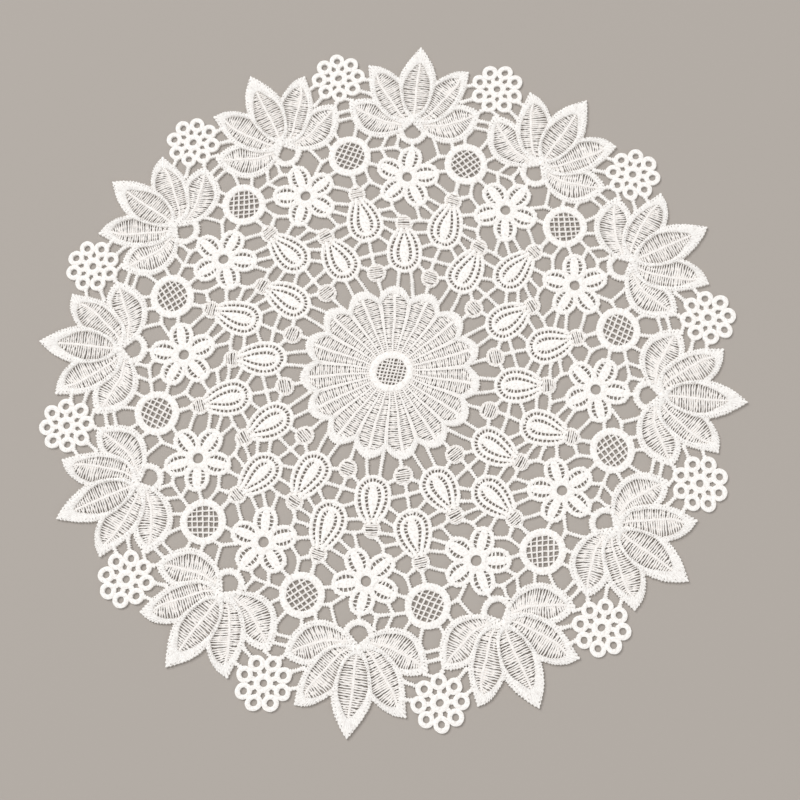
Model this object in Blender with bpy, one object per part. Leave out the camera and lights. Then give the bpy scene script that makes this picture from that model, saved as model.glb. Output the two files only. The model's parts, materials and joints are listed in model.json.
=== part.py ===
"""Lace doily: one flat embroidered cloth, twelve repeats set round a fifteen-petal daisy.

The motifs and the bars between them are joined in plan, the larger gaps are cut through, and
the top is raised along the ribs of the petals.  Lengths are millimetres until the mesh is made.
Each repeat has its own plan frame: +Y runs outward through a lotus and +X to the clockwise
side.  The underside lies on z = 0.
"""
import math

import bmesh
import bpy
from mathutils import Vector
from mathutils.geometry import delaunay_2d_cdt

NAME = "lace_doily"
MM = 0.001
REPEATS = 12
REPEAT_TURN = 360.0 / REPEATS

# Heights of the top of the cloth: in the fillings, along the ribs and at every edge.
FILL_HEIGHT = 1.2
RIB_HEIGHT = 1.75
EDGE_HEIGHT = 1.5

# A gap is cut through when its plan area is at least this; smaller ones are left as cloth.
GAP_AREA = 24.7
# Corner distance of the empty square in which the outlines are joined, and the distance at
# which two points are one.
FAR = 200.0
MERGE = 0.0001
# The triangulation's output that keeps every triangle, cloth or not.
WHOLE_HULL = 0
# A point of an edge is dropped when the triangle it makes with its neighbours is smaller.
POINT_AREA = 1.15

BAR_WIDTH = 1.4
BAR_TUCK = 1.2

# Daisy in the middle.
DAISY_PETALS = 15
DAISY_TURN = 360.0 / DAISY_PETALS
DAISY_BEARING = -3.0
DAISY_TIP = 38.2
DAISY_NOTCH = 33.2
# Places of the edge points across a petal, from one notch at -1 to just before the next at +1.
DAISY_EDGE = (-1.0, -0.72, -0.3, 0.3, 0.72)
# Radii between which its ribs run, and how far across a petal the hollows lie from a midrib.
DAISY_RIB = (13.0, 30.0)
DAISY_HOLLOW = 0.25

# Plain discs of the repeat: (x, y, radius, sides).
DISCS = (
    (12.7, 42.9, 4.15, 14),
    (24.7, 95.65, 9.4, 22),
)

# Cluster of rings round a middle disc.  Its sides are the middle's, then each ring's.
CLUSTER = (35.5, 132.3)
CLUSTER_MIDDLE = 8.6
CLUSTER_RINGS = 8
CLUSTER_STEP = 8.4
CLUSTER_RING = 3.3
CLUSTER_BEARING = 19.7
CLUSTER_SIDES = (16, 12)

# Flower: five oval petals round a disc.  Its sides are the middle's, then each petal's.
FLOWER = (-0.4, 87.4)
FLOWER_PETALS = 5
FLOWER_BEARING = 5.0
FLOWER_STEP = 8.2
FLOWER_LENGTH = 6.1
FLOWER_WIDTH = 5.2
FLOWER_MIDDLE = 5.0
FLOWER_SIDES = (12, 14)

# Drops with a round cap, inner and outer: (x of the foot, y of the foot, bearing of the axis).
DROPS = (
    (1.85, 44.1, -5.5),
    (16.15, 56.1, 10.5),
)
# Half width of a drop at a distance from its foot: (along, half width).
DROP_PROFILE = (
    (0.0, 0.0),
    (0.7, 3.2),
    (2.2, 5.3),
    (4.2, 6.9),
    (7.0, 7.6),
    (10.0, 7.6),
    (13.0, 7.0),
    (16.0, 6.0),
    (18.4, 4.7),
    (20.3, 3.4),
    (22.4, 3.9),
    (24.6, 3.4),
    (26.1, 1.9),
    (26.7, 0.0),
)

# Lotus: half outlines on the +X side, from the base round to the base again: (x, y).
LOTUS_CENTRE = (
    (0.0, 113.0),
    (4.6, 119.0),
    (7.4, 126.5),
    (8.1, 133.0),
    (7.0, 139.0),
    (4.9, 144.0),
    (2.3, 148.1),
    (0.0, 150.4),
)
LOTUS_UPPER = (
    (0.0, 113.0),
    (6.0, 125.0),
    (7.6, 134.0),
    (10.4, 136.1),
    (14.0, 138.3),
    (18.0, 139.5),
    (22.5, 139.4),
    (21.7, 135.0),
    (21.5, 131.0),
    (20.4, 126.6),
    (18.8, 123.3),
    (13.5, 117.0),
    (6.0, 114.0),
)
LOTUS_LOWER = (
    (-0.8, 113.4),
    (4.0, 115.5),
    (12.0, 121.0),
    (18.8, 123.4),
    (22.4, 123.3),
    (26.0, 122.5),
    (29.2, 120.6),
    (28.4, 115.6),
    (26.0, 110.6),
    (22.2, 106.8),
    (17.0, 105.0),
    (12.0, 105.0),
    (7.5, 107.0),
    (3.7, 109.2),
)
# Ribs of the lotus, raised, and hollows of its fillings, on the +X side: (x, y).
LOTUS_RIBS = (
    ((0.0, 120.0), (0.0, 141.0)),
    ((5.4, 120.0), (8.0, 129.5)),
    ((8.2, 119.4), (17.0, 131.5)),
    ((8.0, 115.7), (16.5, 120.6)),
    ((8.0, 112.7), (24.3, 117.8)),
)
LOTUS_HOLLOWS = (
    (3.4, 124.0),
    (4.2, 135.0),
    (11.6, 130.2),
    (14.4, 122.6),
    (19.0, 119.6),
    (17.0, 110.2),
)
# Half ring that closes the eye under the lotus.
EYE = (0.3, 109.4)
EYE_INNER = 3.85
EYE_OUTER = 6.5
EYE_STEPS = 8

# Straight bars of the ground: (from x, y, to x, y).
BARS = (
    (-25.3, 103.5, -24.7, 109.3),
    (-20.2, 101.0, -18.0, 105.8),
    (-12.6, 99.8, -18.0, 98.5),
    (-12.6, 99.8, -11.3, 105.3),
    (-12.6, 99.8, -10.3, 95.8),
    (-12.6, 99.8, -6.4, 101.2),
    (-6.4, 101.2, -5.8, 106.5),
    (-6.4, 101.2, -3.6, 99.6),
    (0.5, 101.0, 0.5, 104.5),
    (-17.8, 92.6, -13.8, 92.0),
    (-19.3, 90.0, -16.4, 84.3),
    (-16.4, 84.3, -10.4, 81.8),
    (-16.4, 84.3, -19.0, 81.3),
    (-24.2, 86.8, -22.5, 81.8),
    (10.0, 106.2, 12.6, 98.6),
    (12.6, 98.6, 16.8, 98.8),
    (12.6, 98.6, 8.2, 94.8),
    (17.8, 106.0, 18.8, 102.8),
    (23.3, 108.0, 24.1, 104.3),
    (12.8, 91.3, 17.0, 91.9),
    (12.0, 86.2, 18.2, 81.0),
    (21.9, 87.0, 21.5, 82.0),
    (9.0, 78.9, 16.0, 75.2),
    (7.0, 76.0, 12.6, 71.6),
    (6.9, 68.6, 4.7, 74.9),
    (6.9, 68.6, 3.0, 67.5),
    (6.9, 68.6, 11.2, 68.0),
    (-5.6, 72.7, -6.2, 76.2),
    (-5.6, 72.7, -11.3, 71.2),
    (-5.6, 72.7, -2.8, 70.0),
    (-11.0, 78.0, -14.8, 74.9),
    (-3.8, 67.6, -9.9, 67.7),
    (-3.5, 61.9, -9.4, 64.2),
    (-6.2, 57.2, -10.9, 59.9),
    (4.3, 62.6, 10.3, 63.0),
    (7.6, 56.0, 12.8, 58.2),
    (-13.2, 51.0, -6.4, 53.3),
    (-13.2, 51.0, -18.8, 48.8),
    (-13.2, 51.0, -14.8, 57.8),
    (-13.2, 51.0, -12.0, 47.0),
    (7.3, 48.2, 9.8, 45.8),
    (-7.0, 45.9, -4.8, 47.3),
    (-1.0, 45.3, -0.8, 34.0),
    (4.0, 45.2, 6.1, 34.0),
    (12.0, 39.3, 10.9, 33.0),
    (27.2, 113.2, 33.8, 112.0),
    (28.5, 116.6, 34.0, 115.7),
    (20.6, 124.9, 25.2, 127.0),
    (21.3, 132.6, 24.8, 133.6),
    (29.8, 121.5, 31.5, 122.5),
    (33.8, 122.0, 36.5, 119.5),
    (-21.0, 132.6, -24.5, 132.6),
    (-20.3, 126.0, -25.5, 127.0),
)


def unit(bearing):
    """Plan direction of a bearing measured clockwise from +Y."""
    a = math.radians(bearing)
    return math.sin(a), math.cos(a)


def turned(points, turn):
    """Points turned clockwise about the middle of the cloth."""
    s, c = unit(turn)
    return [(x * c + y * s, y * c - x * s) for x, y in points]


def mirrored(points):
    return [(-x, y) for x, y in points]


def oval(x, y, bearing, along, across, sides):
    """Closed oval with its long axis on a bearing."""
    s, c = unit(bearing)
    ring = []
    for k in range(sides):
        ds, dc = unit(360.0 * (k + 0.5) / sides)
        u, v = along * dc, across * ds
        ring.append((x + u * s + v * c, y + u * c - v * s))
    return ring


def disc(x, y, radius, sides):
    return oval(x, y, 0.0, radius, radius, sides)


def around(middle, distance, bearing, count):
    """Places evenly spaced round a middle: (x, y, bearing)."""
    for k in range(count):
        b = bearing + 360.0 * k / count
        s, c = unit(b)
        yield middle[0] + distance * s, middle[1] + distance * c, b


def bar(x0, y0, x1, y1):
    """Bar tucked a little way into the motifs at both ends."""
    start, end = Vector((x0, y0)), Vector((x1, y1))
    along = (end - start).normalized()
    side = Vector((-along.y, along.x)) * BAR_WIDTH / 2
    start -= along * BAR_TUCK
    end += along * BAR_TUCK
    return [tuple(p) for p in (start + side, start - side, end - side, end + side)]


def drop(x, y, bearing):
    """Drop from its half widths, taken on both sides of its axis."""
    s, c = unit(bearing)
    sides = [(t, -w) for t, w in DROP_PROFILE] + list(DROP_PROFILE[-2:0:-1])
    return [(x + t * s + w * c, y + t * c - w * s) for t, w in sides]


def eye_arc():
    """Half ring under the lotus, its ends tucked into the petals."""
    outer, inner = [], []
    for k in range(EYE_STEPS + 1):
        s, c = unit(90.0 + 180.0 * k / EYE_STEPS)
        outer.append((EYE[0] + EYE_OUTER * s, EYE[1] + EYE_OUTER * c))
        inner.append((EYE[0] + EYE_INNER * s, EYE[1] + EYE_INNER * c))
    return outer + inner[::-1]


def daisy():
    """Outline of the daisy: round petal ends with a sharp notch between them."""
    ring = []
    for k in range(DAISY_PETALS):
        for part in DAISY_EDGE:
            s, c = unit(DAISY_BEARING + (k + part / 2) * DAISY_TURN)
            r = DAISY_TIP - (DAISY_TIP - DAISY_NOTCH) * part ** 2
            ring.append((r * s, r * c))
    return ring


def repeat_shapes():
    """Closed outlines that together make one repeat, each turned into its own plan frame."""
    shapes = [disc(*row) for row in DISCS]
    shapes.append(disc(*CLUSTER, CLUSTER_MIDDLE, CLUSTER_SIDES[0]))
    for x, y, _ in around(CLUSTER, CLUSTER_STEP, CLUSTER_BEARING, CLUSTER_RINGS):
        shapes.append(disc(x, y, CLUSTER_RING, CLUSTER_SIDES[1]))
    shapes.append(disc(*FLOWER, FLOWER_MIDDLE, FLOWER_SIDES[0]))
    for x, y, bearing in around(FLOWER, FLOWER_STEP, FLOWER_BEARING, FLOWER_PETALS):
        shapes.append(oval(x, y, bearing, FLOWER_LENGTH, FLOWER_WIDTH, FLOWER_SIDES[1]))
    shapes += [drop(*row) for row in DROPS]
    shapes.append(list(LOTUS_CENTRE) + mirrored(LOTUS_CENTRE[-2:0:-1]))
    for half in (LOTUS_UPPER, LOTUS_LOWER):
        shapes.append(list(half))
        shapes.append(mirrored(half))
    shapes.append(eye_arc())
    shapes += [bar(*row) for row in BARS]
    return shapes


def area(loop):
    total = 0.0
    for (x0, y0), (x1, y1) in zip(loop, loop[1:] + loop[:1]):
        total += x0 * y1 - x1 * y0
    return total / 2


def add_faces(points, shapes):
    """Adds closed shapes to a list of points, and gives each one's indices, anticlockwise."""
    faces = []
    for shape in shapes:
        ring = shape if area(shape) > 0 else shape[::-1]
        faces.append(list(range(len(points), len(points) + len(ring))))
        points += [Vector(p) for p in ring]
    return faces


def joined(shapes):
    """Outer edge and gaps of the union of closed shapes, each as one closed loop."""
    points = []
    faces = add_faces(points, shapes)
    points += [Vector(p) for p in ((-FAR, -FAR), (FAR, -FAR), (FAR, FAR), (-FAR, FAR))]
    verts, _, tris, _, _, owners = delaunay_2d_cdt(points, [], faces, WHOLE_HULL, MERGE, True)
    cloth = {}
    for tri, owner in zip(tris, owners):
        for edge in zip(tri, tri[1:] + tri[:1]):
            cloth[edge] = bool(owner)
    after = {a: b for (a, b), here in cloth.items() if here and not cloth[(b, a)]}
    loops = []
    while after:
        place = next(iter(after))
        loop = []
        while place in after:
            loop.append(tuple(verts[place]))
            place = after.pop(place)
        loops.append(loop)
    return loops


def eased(loop, least):
    """Loop without the points that hardly change it."""
    loop = list(loop)
    while len(loop) > 4:
        sizes = []
        for k in range(len(loop)):
            a, b, c = loop[k - 1], loop[k], loop[(k + 1) % len(loop)]
            sizes.append(abs((b[0] - a[0]) * (c[1] - a[1]) - (c[0] - a[0]) * (b[1] - a[1])) / 2)
        k = min(range(len(loop)), key=sizes.__getitem__)
        if sizes[k] >= least:
            break
        del loop[k]
    return loop


def relief():
    """Ribs and hollows inside the cloth: rib lines, then low points, both in plan."""
    ribs, hollows = [], []
    for k in range(DAISY_PETALS):
        for part, rows in ((0.0, ribs), (0.5, ribs), (DAISY_HOLLOW, hollows), (-DAISY_HOLLOW, hollows)):
            s, c = unit(DAISY_BEARING + (k + part) * DAISY_TURN)
            rows.append([(r * s, r * c) for r in DAISY_RIB])
    for k in range(REPEATS):
        turn = k * REPEAT_TURN
        for line in LOTUS_RIBS:
            ribs.append(turned(line, turn))
            if line[0][0]:
                ribs.append(turned(mirrored(line), turn))
        for side in (LOTUS_HOLLOWS, mirrored(LOTUS_HOLLOWS)):
            hollows.append(turned(side, turn))
    return ribs, hollows


def sheet(loops, ribs, hollows):
    """Triangles of the plan inside the outer edge and outside every gap."""
    points, edges = [], []
    faces = add_faces(points, loops)
    heights = [EDGE_HEIGHT] * len(points)
    for line in ribs:
        edges += [(len(points) + k, len(points) + k + 1) for k in range(len(line) - 1)]
        points += [Vector(p) for p in line]
        heights += [RIB_HEIGHT] * len(line)
    for line in hollows:
        points += [Vector(p) for p in line]
        heights += [FILL_HEIGHT] * len(line)
    verts, _, tris, sources, _, owners = delaunay_2d_cdt(points, edges, faces, WHOLE_HULL, MERGE, True)
    kept = [tri for tri, owner in zip(tris, owners) if owner == [0]]
    return verts, [heights[source[0]] for source in sources], kept


def lace_mesh(loops):
    """Closed mesh: level underside, upright edges, ribs and hollows on top."""
    ribs, hollows = relief()
    top, heights, top_tris = sheet(loops, ribs, hollows)
    base, _, base_tris = sheet(loops, [], [])
    bm = bmesh.new()
    upper = [bm.verts.new((x * MM, y * MM, z * MM)) for (x, y), z in zip(top, heights)]
    lower = [bm.verts.new((x * MM, y * MM, 0.0)) for x, y in base]
    for tri in top_tris:
        bm.faces.new([upper[k] for k in tri])
    for tri in base_tris:
        bm.faces.new([lower[k] for k in reversed(tri)])
    rim = [(a, b) for tri in base_tris for a, b in zip(tri, tri[1:] + tri[:1])]
    inside = set(rim)
    for a, b in rim:
        if (b, a) not in inside:
            bm.faces.new((lower[a], lower[b], upper[b]))
            bm.faces.new((lower[a], upper[b], upper[a]))
    mesh = bpy.data.meshes.new(NAME)
    bm.to_mesh(mesh)
    bm.free()
    return mesh


def thread_material():
    material = bpy.data.materials.new("white embroidery thread")
    material.use_nodes = True
    shader = material.node_tree.nodes["Principled BSDF"]
    shader.inputs["Base Color"].default_value = (0.82, 0.81, 0.78, 1.0)
    shader.inputs["Roughness"].default_value = 0.85
    shader.inputs["Metallic"].default_value = 0.0
    return material


def main():
    for item in list(bpy.data.objects):
        bpy.data.objects.remove(item, do_unlink=True)
    shapes = [daisy()]
    for k in range(REPEATS):
        shapes += [turned(shape, k * REPEAT_TURN) for shape in repeat_shapes()]
    loops = sorted(joined(shapes), key=lambda loop: -abs(area(loop)))
    cut = [loop for loop in loops if abs(area(loop)) >= GAP_AREA]
    doily = bpy.data.objects.new(NAME, lace_mesh([eased(loop, POINT_AREA) for loop in cut]))
    doily.data.materials.append(thread_material())
    collection = bpy.data.collections.new("lace doily")
    bpy.context.scene.collection.children.link(collection)
    collection.objects.link(doily)


main()
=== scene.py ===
"""Lace doily in white embroidery thread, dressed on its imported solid.

Twelve repeats stand round a fifteen-petal daisy.  The tables are the design in millimetres, in
the plan of one repeat: +Y runs outward through the lotus and +X to the clockwise side.  Each
motif is worked once, as satin borders and drawn threads, and an Array turns it round the cloth.
Bearings are in degrees, clockwise from +Y.  Heights are over the table the cloth lies on.
"""
import json
import math
from collections import namedtuple

import bpy
import numpy as np
from mathutils import Matrix, Vector
from mathutils.geometry import delaunay_2d_cdt

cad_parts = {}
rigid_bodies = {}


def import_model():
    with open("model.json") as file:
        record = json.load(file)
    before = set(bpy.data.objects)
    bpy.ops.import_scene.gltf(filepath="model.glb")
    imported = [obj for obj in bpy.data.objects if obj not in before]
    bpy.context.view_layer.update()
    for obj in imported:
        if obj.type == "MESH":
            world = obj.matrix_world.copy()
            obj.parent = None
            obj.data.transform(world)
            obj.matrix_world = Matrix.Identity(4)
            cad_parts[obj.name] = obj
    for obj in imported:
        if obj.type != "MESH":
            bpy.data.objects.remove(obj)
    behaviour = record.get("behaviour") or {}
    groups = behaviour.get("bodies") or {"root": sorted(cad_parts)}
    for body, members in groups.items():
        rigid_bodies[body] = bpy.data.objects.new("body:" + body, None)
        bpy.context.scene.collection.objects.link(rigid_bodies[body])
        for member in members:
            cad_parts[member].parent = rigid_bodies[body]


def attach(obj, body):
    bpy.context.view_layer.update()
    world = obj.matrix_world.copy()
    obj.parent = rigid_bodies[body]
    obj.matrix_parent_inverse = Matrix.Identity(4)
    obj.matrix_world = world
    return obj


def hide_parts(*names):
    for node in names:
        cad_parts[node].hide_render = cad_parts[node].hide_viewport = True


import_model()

bl_info = {
    "name": "Lace Doily",
    "version": (1, 0, 0),
    "blender": (4, 5, 0),
    "location": "View3D > Sidebar > Doily",
    "description": "Works a round guipure lace doily in satin borders and drawn threads",
    "category": "Object",
}

NODE = "lace_doily"
BODY = "root"
MM = 0.001
REPEATS = 12
# Height of the highest border in the tables.
TABLE_RELIEF = 1.7
# Underside of what stands on the cloth's ground, and of what hangs between borders; and the
# ground's own height.
LOW = 0.1
HUNG = 0.7
GROUND = 0.5
# Heights of the rims of drops and flowers, of leaves and of bars.
RIM_HEIGHT = 1.45
LEAF_HEIGHT = 1.35
BAR_HEIGHT = 1.3
SEED = 12

# Daisy: petals, bearing of the first, radii of its tips and notches, width and height of its rim,
# and half the points of a petal's edge.
DAISY_PETALS = 15
DAISY_TURN = 360.0 / DAISY_PETALS
DAISY_BEARING = -3.0
DAISY_TIP = 38.2
DAISY_NOTCH = 33.2
DAISY_RIM = 3.7
DAISY_HEIGHT = 1.5
DAISY_STEPS = 24
# Its drawn threads: distance of the first from the middle, height, and the share of half a petal
# by which they pass under the rim.
DAISY_INSIDE = 9.2
DAISY_FILL_HEIGHT = 1.1
DAISY_REACH = 0.1
# Its ribs, down a petal and between petals: (petals from its axis, outer end, width there).  Width
# at the inner end, height, and how far they pass the first thread.
DAISY_RIBS = ((0.0, 35.2, 1.4), (0.5, 30.6, 1.8))
DAISY_RIB_START = 0.7
DAISY_RIB_HEIGHT = 1.17
DAISY_RIB_TUCK = 0.5
# Ring round its middle, as (radius of the middle line, width, height), and the net inside that:
# its radius, the width of its threads, and their two ways, as (bearing, pitch).
DAISY_RING = (7.6, 2.9, 1.5)
DAISY_NET = (6.7, 0.72)
DAISY_NET_WAYS = ((5.0, 1.5), (95.0, 1.5))

# Hatched balls: (x, y, radius, bearing of the hatching).
BALLS = ((12.7, 42.9, 4.15, 105.0),)
# Threads over balls and caps: pitch, width, lowest and highest, how far they stop short of the
# edge, and the share of their height that they lose there.  Ring that they are worked over:
# distance of its middle line from the edge, width and height.
HATCH = (0.93, 0.8, 0.6, 1.42)
HATCH_SHORT = 0.25
HATCH_FALL = 0.6
HATCH_RING = (0.65, 1.3, 0.95)

# Drops, inner and outer: (x of the foot, y of the foot, bearing of the axis).
DROPS = ((1.85, 44.1, -5.5), (16.15, 56.1, 10.5))
# Half width of a drop at a distance from its foot: (along, half width).
DROP_OUTLINE = (
    (0.0, 0.0), (0.7, 3.2), (2.2, 5.3), (4.2, 6.9), (6.5, 7.6), (9.0, 7.7), (12.0, 7.35),
    (14.5, 6.6), (17.0, 5.6), (19.0, 4.3), (20.6, 3.0),
)
# Middle line of the ring inside a drop: (along, half width).
DROP_RING = (
    (3.7, 0.0), (4.2, 1.9), (5.6, 3.5), (7.6, 4.1), (10.0, 4.1), (13.0, 3.5), (15.5, 2.7),
    (18.0, 1.75), (20.5, 0.95),
)
# Leaf in the middle of a drop: (along, half width).
DROP_LEAF = (
    (4.2, 0.9), (6.0, 1.6), (8.0, 2.05), (10.0, 2.1), (12.0, 1.85), (14.0, 1.4), (16.0, 0.8),
    (18.0, 0.3),
)
DROP_BORDER = 1.6
# Height of the ring, and its widths at distances from the foot.
DROP_RING_HEIGHT = 1.4
DROP_RING_WIDTHS = ((12.0, 20.0), (1.7, 1.5))
# Rungs over a drop's two gaps: (line, from and to beside it, pitch, width).
DROP_RUNGS = (
    (DROP_OUTLINE, 1.3, 3.3, 2.0, 0.8),
    (DROP_RING, 0.6, 2.6, 1.75, 0.66),
)
# Height of the rungs in drops and flowers.
RUNG_HEIGHT = 1.3
# Cap over a drop's tip: distance of its middle from the foot, and radius.
DROP_CAP = 22.6
DROP_CAP_RADIUS = 3.95

# Flower: middle, petals, bearing of the first, distance, half length and half width of one, the
# step in degrees round its edge, and the width of its border.
FLOWER = (-0.4, 87.4)
FLOWER_PETALS = 5
FLOWER_BEARING = 5.0
FLOWER_STEP = 8.3
FLOWER_LENGTH = 6.1
FLOWER_WIDTH = 5.25
FLOWER_TURN = 5
FLOWER_BORDER = 1.85
# Ring of its eyelet: (radius of the middle line, width, height).
FLOWER_RING = (3.2, 2.1, 1.45)
# Leaf in a flower's petal: (distance from the flower's middle, half width).
FLOWER_LEAF = (
    (3.0, 1.0), (4.5, 1.5), (6.3, 1.85), (8.3, 1.95), (10.4, 1.8), (12.0, 1.45), (13.2, 0.9),
)
# Rungs beside the leaf: from and to along the petal, pitch, from and to across it, and width.
FLOWER_RUNGS = (4.6, 12.9, 1.65, 1.4, 3.8, 0.7)

# Net disc: middle, ring as (radius of the middle line, width, height), how far its threads stop
# short of that middle line, their width, and their two ways, as (bearing, pitch).
NET = (24.7, 95.65)
NET_RING = (7.95, 3.0, 1.45)
NET_SHORT = 0.6
NET_THREAD = 0.78
NET_WAYS = ((138.5, 2.2), (52.4, 2.3))
# Lowest and highest of the first and the second way of a net's threads.
NET_LAYERS = ((0.6, 1.1), (0.8, 1.3))

# Cluster of rings: middle, rings round it, their distance and bearing; a ring round it and the
# ring in its middle, as (radius of the middle line, width, height); and the ties between the two,
# as (inner end, outer end, width, height).
CLUSTER = (35.5, 132.3)
CLUSTER_RINGS = 8
CLUSTER_STEP = 8.4
CLUSTER_BEARING = 19.7
CLUSTER_RING = (2.42, 2.06, 1.35)
CLUSTER_MIDDLE = (2.72, 2.5, 1.3)
CLUSTER_TIE = (3.0, 6.2, 2.05, 1.2)

# Borders of a lotus on its +X side: (outer x, outer y, inner x, inner y) from the base outward.
LOTUS_CENTRE = (
    (-0.2, 112.9, -0.2, 117.2),
    (3.2, 116.6, 2.0, 118.5),
    (5.4, 120.5, 3.7, 120.6),
    (7.2, 126.0, 5.5, 125.6),
    (8.1, 131.5, 6.0, 130.2),
    (8.0, 135.0, 4.9, 134.8),
    (7.0, 139.0, 3.4, 137.8),
    (4.7, 143.7, 2.1, 140.0),
    (2.1, 147.5, 1.0, 141.3),
    (-0.2, 150.3, -0.2, 141.8),
)
LOTUS_UPPER_SIDE = (
    (0.2, 112.6, 2.4, 116.4),
    (4.2, 112.4, 4.6, 115.0),
    (8.4, 113.4, 9.0, 115.6),
    (12.0, 115.4, 11.3, 117.2),
    (15.2, 118.2, 13.8, 119.6),
    (18.2, 121.4, 15.8, 122.4),
    (19.9, 125.2, 17.6, 125.8),
    (21.3, 130.0, 18.6, 130.0),
    (21.9, 135.0, 18.8, 133.6),
    (22.5, 139.4, 18.0, 135.9),
)
LOTUS_UPPER_TOP = (
    (6.6, 133.0, 8.6, 131.6),
    (10.4, 136.1, 9.8, 133.0),
    (14.0, 138.3, 12.2, 134.7),
    (18.0, 139.5, 15.2, 135.9),
    (22.5, 139.4, 18.0, 135.9),
)
LOTUS_LOWER_SIDE = (
    (0.2, 112.9, 4.6, 112.6),
    (2.2, 110.9, 4.9, 111.9),
    (3.9, 109.2, 5.2, 110.7),
    (7.5, 107.0, 8.4, 108.7),
    (12.0, 105.2, 12.2, 107.6),
    (17.0, 105.0, 16.2, 107.5),
    (22.0, 106.8, 20.2, 108.7),
    (25.9, 110.6, 23.2, 112.0),
    (28.2, 115.3, 25.3, 116.3),
    (29.3, 120.6, 26.1, 118.9),
)
LOTUS_LOWER_TOP = (
    (17.4, 122.4, 18.0, 120.6),
    (19.4, 123.4, 20.0, 121.0),
    (22.4, 123.5, 22.2, 120.8),
    (26.0, 122.6, 24.6, 120.0),
    (29.3, 120.6, 26.1, 118.9),
)
# Pad over the foot of the whole flower: (x, y, radius, height), and the first and last angle in
# radians and the points of its outline, which is a little open at both ends.
LOTUS_KNOT = (0.0, 115.2, 2.1, 1.74)
KNOT_OUTLINE = (3.0, 0.14, 13)
# The borders, and how high each stands: the centre petal lies over the upper ones, and those
# over the lower ones.
LOTUS_BORDERS = (
    (LOTUS_LOWER_TOP, 1.4),
    (LOTUS_LOWER_SIDE, 1.4),
    (LOTUS_UPPER_TOP, 1.55),
    (LOTUS_UPPER_SIDE, 1.55),
    (LOTUS_CENTRE, 1.7),
)
# Drawn work of a lotus on its +X side from the base outward: (rib x, rib y, edge x, edge y), with
# the edge on the rib's other side after that where the petal has two.
LOTUS_CENTRE_FILL = (
    (0.0, 117.0, 0.8, 117.0),
    (0.0, 119.5, 3.6, 119.5),
    (0.0, 125.0, 6.1, 125.0),
    (0.0, 130.0, 6.8, 130.0),
    (0.0, 135.0, 5.7, 135.0),
    (0.0, 138.0, 4.2, 138.0),
    (0.0, 142.2, 0.8, 142.2),
)
LOTUS_UPPER_FILL = (
    (3.6, 115.2, 4.6, 114.4, 2.7, 116.0),
    (6.6, 117.6, 9.6, 115.2, 3.7, 119.2),
    (8.6, 120.2, 12.4, 117.4, 5.2, 122.6),
    (10.6, 122.7, 15.2, 119.6, 6.4, 125.9),
    (12.6, 125.3, 16.9, 122.4, 7.0, 129.3),
    (14.6, 128.0, 19.0, 125.4, 7.6, 132.9),
    (16.4, 130.6, 19.6, 129.0, 11.4, 135.2),
    (17.6, 133.0, 19.7, 132.2, 14.8, 136.6),
    (18.4, 135.8, 19.2, 135.6, 17.8, 136.9),
)
LOTUS_LOWER_FILL = (
    (4.3, 112.1, 4.0, 112.9, 4.3, 110.6),
    (8.5, 112.4, 7.4, 114.0, 9.9, 107.7),
    (11.5, 112.6, 9.9, 115.2, 14.3, 106.8),
    (14.5, 113.4, 12.4, 117.1, 18.5, 107.1),
    (17.5, 114.8, 15.2, 119.8, 21.9, 109.1),
    (20.0, 115.8, 17.8, 121.5, 24.1, 111.8),
    (22.4, 116.9, 21.0, 121.7, 25.5, 114.3),
    (24.2, 117.8, 23.8, 121.1, 26.5, 116.7),
    (26.0, 118.8, 26.4, 119.9, 27.0, 118.6),
)
# The fillings: (threads, height, sides of the lotus on which their rib is laid).
LOTUS_FILLS = (
    (LOTUS_LOWER_FILL, 1.0, (1.0, -1.0)),
    (LOTUS_UPPER_FILL, 1.1, (1.0, -1.0)),
    (LOTUS_CENTRE_FILL, 1.2, (1.0,)),
)
# A rib: width, how far it stands over its threads, and step of its stitches.
LOTUS_RIB = (0.95, 0.12, 0.8)
# Half ring that closes the eye under the lotus: middle, (radius of the middle line, width,
# height), and the bearing where it starts and how far it goes round.
EYE = (0.3, 109.4)
EYE_RING = (5.2, 2.6, 1.4)
EYE_ARC = (84.0, 192.0)

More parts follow.
